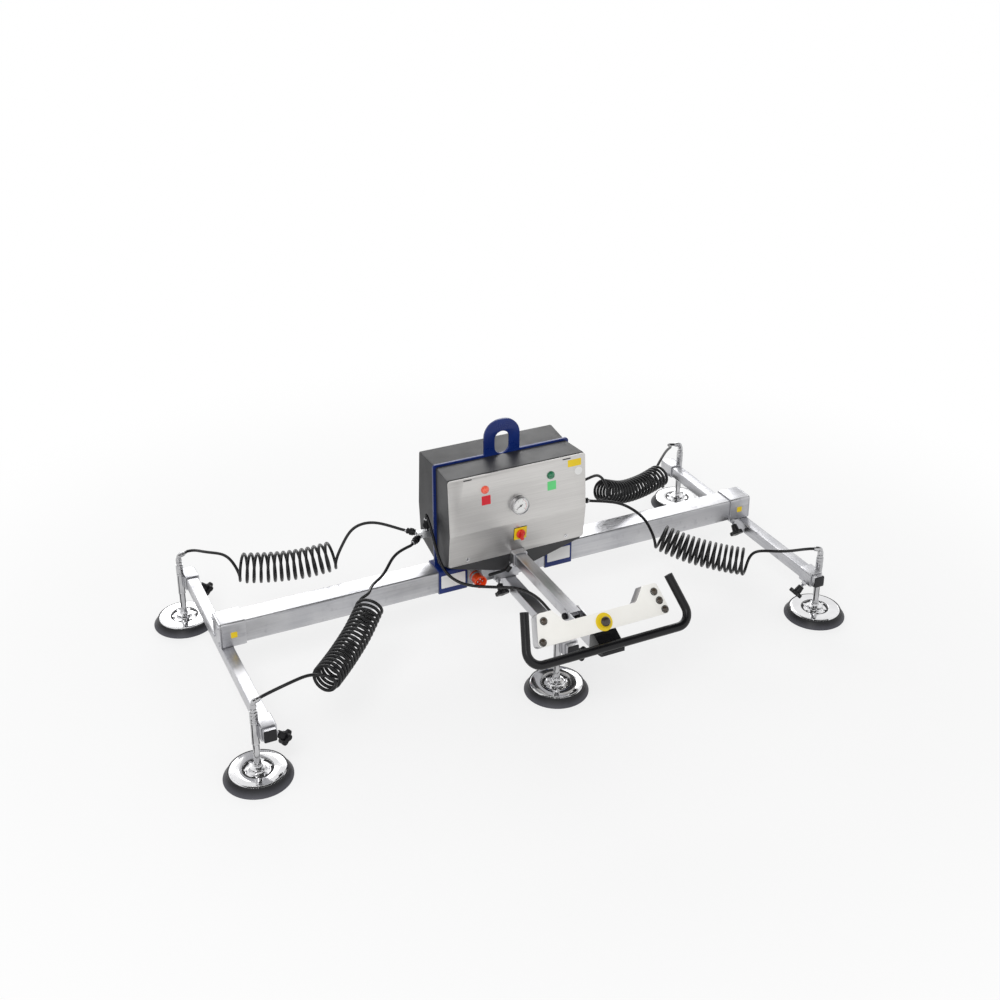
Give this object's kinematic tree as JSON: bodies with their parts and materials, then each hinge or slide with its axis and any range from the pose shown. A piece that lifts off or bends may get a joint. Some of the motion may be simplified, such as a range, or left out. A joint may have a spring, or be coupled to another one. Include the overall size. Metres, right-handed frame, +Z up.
{
  "type": "vacuum lifter",
  "caption": "Vacuum lifter for sheets: a beam with adjustable crossbeams and sprung suction pads, a central pump housing with a lifting eye, coiled hoses and a control handle.",
  "frame": {"origin": "On the plane of the pad lips, under the middle of the box round the whole lifter without its hoses.", "axes": "+Z up. +X along the main beam, to the right of an operator who looks at the front panel. +Y away from the operator, so the control handle is on the -Y side."},
  "size_m": [2.232, 1.33, 0.774],
  "materials": {
    "galvanised_steel": "bright zinc coat, slightly clouded",
    "chrome": "polished chrome plate",
    "stainless_sheet": "brushed stainless sheet",
    "blue_paint": "semi-gloss blue powder coat",
    "black_coat": "fine-textured black powder coat",
    "black_plastic": "black moulded plastic",
    "rubber": "soft black rubber",
    "hose": "semi-gloss black hose",
    "cream_coat": "off-white coated light alloy case",
    "aluminium": "bare machined aluminium",
    "red_lens": "clear red lens",
    "green_lens": "clear green lens",
    "red_plastic": "red moulded plastic",
    "orange_plastic": "orange-red moulded plastic",
    "yellow_plastic": "yellow moulded plastic",
    "grey_coat": "grey painted machine housing"
  },
  "bodies": {
    "frame": {"main_beam": "galvanised_steel", "lifting_frame": "blue_paint", "front_shell": "black_coat", "rear_shell": "black_coat", "front_panel": "stainless_sheet", "red_lamp": "red_lens", "green_lamp": "green_lens", "vacuum_gauge": "chrome", "switch_plate": "yellow_plastic", "left_manifold": "aluminium", "right_manifold": "aluminium", "mains_inlet": "orange_plastic", "vacuum_pump": "grey_coat", "vacuum_tank": "grey_coat", "left_rear_hose": "hose", "right_rear_hose": "hose", "left_front_hose": "hose", "right_front_hose": "hose", "centre_front_hose": "hose"},
    "left_crossbeam": {"left_crossbeam": "galvanised_steel"},
    "right_crossbeam": {"right_crossbeam": "galvanised_steel"},
    "centre_crossbeam": {"centre_crossbeam": "galvanised_steel"},
    "left_rear_holder": {"left_rear_holder": "galvanised_steel"},
    "right_rear_holder": {"right_rear_holder": "galvanised_steel"},
    "left_front_holder": {"left_front_holder": "galvanised_steel"},
    "right_front_holder": {"right_front_holder": "galvanised_steel"},
    "centre_front_holder": {"centre_front_holder": "galvanised_steel"},
    "left_rear_plunger": {"left_rear_plunger": "chrome", "left_rear_lip": "rubber"},
    "right_rear_plunger": {"right_rear_plunger": "chrome", "right_rear_lip": "rubber"},
    "left_front_plunger": {"left_front_plunger": "chrome", "left_front_lip": "rubber"},
    "right_front_plunger": {"right_front_plunger": "chrome", "right_front_lip": "rubber"},
    "centre_front_plunger": {"centre_front_plunger": "chrome", "centre_front_lip": "rubber"},
    "operator_arm": {"operator_arm": "galvanised_steel", "handle_bolt": "black_plastic"},
    "handle": {"handle_fork": "galvanised_steel", "handle_bracket": "black_coat", "control_box": "cream_coat", "handle_bar": "black_coat"},
    "left_upper_button": {"left_upper_button": "black_plastic"},
    "left_lower_button": {"left_lower_button": "black_plastic"},
    "right_upper_button": {"right_upper_button": "black_plastic"},
    "right_middle_button": {"right_middle_button": "black_plastic"},
    "right_lower_button": {"right_lower_button": "black_plastic"},
    "stop_button": {"stop_button": "black_plastic"},
    "arm_clamp_lever": {"arm_clamp_lever": "black_plastic"},
    "switch_knob": {"switch_knob": "red_plastic"},
    "gauge_needle": {"gauge_needle": "black_plastic"},
    "left_sleeve_knob": {"left_sleeve_knob": "black_plastic"},
    "right_sleeve_knob": {"right_sleeve_knob": "black_plastic"},
    "centre_sleeve_knob": {"centre_sleeve_knob": "black_plastic"},
    "left_rear_knob": {"left_rear_knob": "black_plastic"},
    "right_rear_knob": {"right_rear_knob": "black_plastic"},
    "left_front_knob": {"left_front_knob": "black_plastic"},
    "right_front_knob": {"right_front_knob": "black_plastic"},
    "centre_front_knob": {"centre_front_knob": "black_plastic"}
  },
  "joints": [
    {"name": "left_crossbeam_slide", "type": "slide", "parent": "frame", "child": "left_crossbeam", "axis": [1, 0, 0], "range_m": [0, 0.2], "deforming": ["left_rear_hose", "left_front_hose"]},
    {"name": "right_crossbeam_slide", "type": "slide", "parent": "frame", "child": "right_crossbeam", "axis": [-1, 0, 0], "range_m": [0, 0.2], "deforming": ["right_rear_hose", "right_front_hose"]},
    {"name": "centre_crossbeam_slide", "type": "slide", "parent": "frame", "child": "centre_crossbeam", "axis": [1, 0, 0], "range_m": [-0.03, 0.09], "deforming": ["centre_front_hose"]},
    {"name": "left_rear_holder_slide", "type": "slide", "parent": "left_crossbeam", "child": "left_rear_holder", "axis": [0, -1, 0], "range_m": [-0.015, 0.2], "deforming": ["left_rear_hose"]},
    {"name": "right_rear_holder_slide", "type": "slide", "parent": "right_crossbeam", "child": "right_rear_holder", "axis": [0, -1, 0], "range_m": [-0.015, 0.2], "deforming": ["right_rear_hose"]},
    {"name": "left_front_holder_slide", "type": "slide", "parent": "left_crossbeam", "child": "left_front_holder", "axis": [0, 1, 0], "range_m": [-0.015, 0.2], "deforming": ["left_front_hose"]},
    {"name": "right_front_holder_slide", "type": "slide", "parent": "right_crossbeam", "child": "right_front_holder", "axis": [0, 1, 0], "range_m": [-0.015, 0.2], "deforming": ["right_front_hose"]},
    {"name": "centre_front_holder_slide", "type": "slide", "parent": "centre_crossbeam", "child": "centre_front_holder", "axis": [0, 1, 0], "range_m": [-0.015, 0.2], "deforming": ["centre_front_hose"]},
    {"name": "left_rear_plunger_slide", "type": "slide", "parent": "left_rear_holder", "child": "left_rear_plunger", "axis": [0, 0, 1], "range_m": [0, 0.022], "stiffness_N_per_m": 8000, "springref_m": -0.05, "deforming": ["left_rear_hose"]},
    {"name": "right_rear_plunger_slide", "type": "slide", "parent": "right_rear_holder", "child": "right_rear_plunger", "axis": [0, 0, 1], "range_m": [0, 0.022], "stiffness_N_per_m": 8000, "springref_m": -0.05, "deforming": ["right_rear_hose"]},
    {"name": "left_front_plunger_slide", "type": "slide", "parent": "left_front_holder", "child": "left_front_plunger", "axis": [0, 0, 1], "range_m": [0, 0.022], "stiffness_N_per_m": 8000, "springref_m": -0.05, "deforming": ["left_front_hose"]},
    {"name": "right_front_plunger_slide", "type": "slide", "parent": "right_front_holder", "child": "right_front_plunger", "axis": [0, 0, 1], "range_m": [0, 0.022], "stiffness_N_per_m": 8000, "springref_m": -0.05, "deforming": ["right_front_hose"]},
    {"name": "centre_front_plunger_slide", "type": "slide", "parent": "centre_front_holder", "child": "centre_front_plunger", "axis": [0, 0, 1], "range_m": [0, 0.022], "stiffness_N_per_m": 8000, "springref_m": -0.05, "deforming": ["centre_front_hose"]},
    {"name": "operator_arm_slide", "type": "slide", "parent": "frame", "child": "operator_arm", "axis": [0, -1, 0], "range_m": [-0.03, 0.06]},
    {"name": "handle_tilt", "type": "hinge", "parent": "operator_arm", "child": "handle", "pos_m": [0, -0.40501, 0.32], "axis": [1, 0, 0], "range_deg": [-60, 30]},
    {"name": "left_upper_button_press", "type": "slide", "parent": "handle", "child": "left_upper_button", "axis": [0, 0.7923, -0.6101], "range_m": [0, 0.003], "stiffness_N_per_m": 400, "springref_m": -0.003},
    {"name": "left_lower_button_press", "type": "slide", "parent": "handle", "child": "left_lower_button", "axis": [0, 0.7923, -0.6101], "range_m": [0, 0.003], "stiffness_N_per_m": 400, "springref_m": -0.003},
    {"name": "right_upper_button_press", "type": "slide", "parent": "handle", "child": "right_upper_button", "axis": [0, 0.7923, -0.6101], "range_m": [0, 0.003], "stiffness_N_per_m": 400, "springref_m": -0.003},
    {"name": "right_middle_button_press", "type": "slide", "parent": "handle", "child": "right_middle_button", "axis": [0, 0.7923, -0.6101], "range_m": [0, 0.003], "stiffness_N_per_m": 400, "springref_m": -0.003},
    {"name": "right_lower_button_press", "type": "slide", "parent": "handle", "child": "right_lower_button", "axis": [0, 0.7923, -0.6101], "range_m": [0, 0.003], "stiffness_N_per_m": 400, "springref_m": -0.003},
    {"name": "stop_button_press", "type": "slide", "parent": "handle", "child": "stop_button", "axis": [0, 0.7923, -0.6101], "range_m": [0, 0.004], "stiffness_N_per_m": 600, "springref_m": -0.004},
    {"name": "main_switch_turn", "type": "hinge", "parent": "frame", "child": "switch_knob", "pos_m": [0.006, -0.02227, 0.41], "axis": [0, -0.9938, -0.1113], "range_deg": [-90, 0]},
    {"name": "gauge_needle_turn", "type": "hinge", "parent": "frame", "child": "gauge_needle", "pos_m": [0, -0.02271, 0.52], "axis": [0, -0.9975, 0.0705], "range_deg": [-240, 0], "stiffness_Nm_per_rad": 0.001},
    {"name": "arm_clamp_turn", "type": "hinge", "parent": "frame", "child": "arm_clamp_lever", "pos_m": [-0.01904, -0.02301, 0.30096], "axis": [-0.7071, 0, -0.7071], "range_deg": [-90, 0]},
    {"name": "left_sleeve_knob_turn", "type": "hinge", "parent": "left_crossbeam", "child": "left_sleeve_knob", "pos_m": [-0.9284, 0.14845, 0.19295], "axis": [0, 0.7071, -0.7071], "range_deg": [0, 360]},
    {"name": "right_sleeve_knob_turn", "type": "hinge", "parent": "right_crossbeam", "child": "right_sleeve_knob", "pos_m": [0.9284, 0.07154, 0.19295], "axis": [0, -0.7071, -0.7071], "range_deg": [0, 360]},
    {"name": "centre_sleeve_knob_turn", "type": "hinge", "parent": "centre_crossbeam", "child": "centre_sleeve_knob", "pos_m": [-0.032, 0.07154, 0.19295], "axis": [0, -0.7071, -0.7071], "range_deg": [0, 360]},
    {"name": "left_rear_knob_turn", "type": "hinge", "parent": "left_rear_holder", "child": "left_rear_knob", "pos_m": [-0.95896, 0.55999, 0.14796], "axis": [0.7071, 0, -0.7071], "range_deg": [0, 360]},
    {"name": "right_rear_knob_turn", "type": "hinge", "parent": "right_rear_holder", "child": "right_rear_knob", "pos_m": [0.95896, 0.55999, 0.14796], "axis": [-0.7071, 0, -0.7071], "range_deg": [0, 360]},
    {"name": "left_front_knob_turn", "type": "hinge", "parent": "left_front_holder", "child": "left_front_knob", "pos_m": [-0.95896, -0.34001, 0.14796], "axis": [0.7071, 0, -0.7071], "range_deg": [0, 360]},
    {"name": "right_front_knob_turn", "type": "hinge", "parent": "right_front_holder", "child": "right_front_knob", "pos_m": [0.95896, -0.34001, 0.14796], "axis": [-0.7071, 0, -0.7071], "range_deg": [0, 360]},
    {"name": "centre_front_knob_turn", "type": "hinge", "parent": "centre_front_holder", "child": "centre_front_knob", "pos_m": [0.03504, -0.34001, 0.14796], "axis": [0.7071, 0, -0.7071], "range_deg": [0, 360]}
  ]
}
